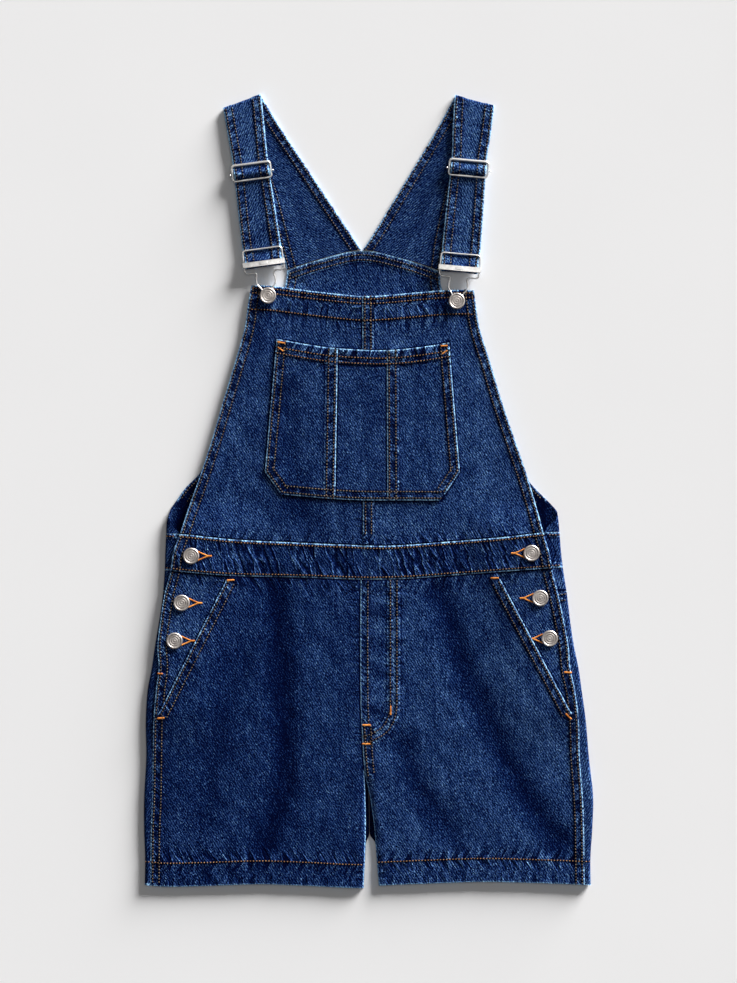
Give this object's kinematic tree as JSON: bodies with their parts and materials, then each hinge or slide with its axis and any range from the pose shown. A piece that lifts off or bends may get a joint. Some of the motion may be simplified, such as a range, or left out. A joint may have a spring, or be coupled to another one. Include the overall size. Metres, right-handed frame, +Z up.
{
  "type": "denim shortalls",
  "caption": "Short bib overalls in dark blue denim, laid flat with the straps turned over: bib with pocket, buttoned sides, slanted front pockets and metal strap buckles.",
  "frame": {"origin": "on the surface it lies on, under the middle of its outline", "axes": "+X to the right seen from above, +Y from the hems to the shoulder straps, +Z up off the surface"},
  "size_m": [0.4672, 0.826, 0.0122],
  "materials": {
    "denim": "matt",
    "button_metal": "satin",
    "buckle_metal": "polished"
  },
  "bodies": {
    "root": {"front_bib_left": "denim", "front_bib_right": "denim", "bib_pocket_left": "denim", "bib_pocket_middle": "denim", "bib_pocket_right": "denim", "front_waistband": "denim", "front_leg_left": "denim", "front_leg_right": "denim", "pocket_facing_left": "denim", "pocket_facing_right": "denim", "underlap_left": "denim", "underlap_right": "denim", "back_leg_left": "denim", "back_leg_right": "denim", "back_yoke_left": "denim", "back_yoke_right": "denim", "back_waistband": "denim", "back_bib": "denim", "strap_left": "denim", "strap_right": "denim", "bib_button_left": "button_metal", "bib_button_right": "button_metal", "side_button_left_1": "button_metal", "side_button_left_2": "button_metal", "side_button_left_3": "button_metal", "side_button_right_1": "button_metal", "side_button_right_2": "button_metal", "side_button_right_3": "button_metal", "buckle_wire_left": "buckle_metal", "buckle_plate_left": "buckle_metal", "slider_frame_left": "buckle_metal", "slider_bar_left": "buckle_metal", "buckle_wire_right": "buckle_metal", "buckle_plate_right": "buckle_metal", "slider_frame_right": "buckle_metal", "slider_bar_right": "buckle_metal"}
  },
  "joints": []
}
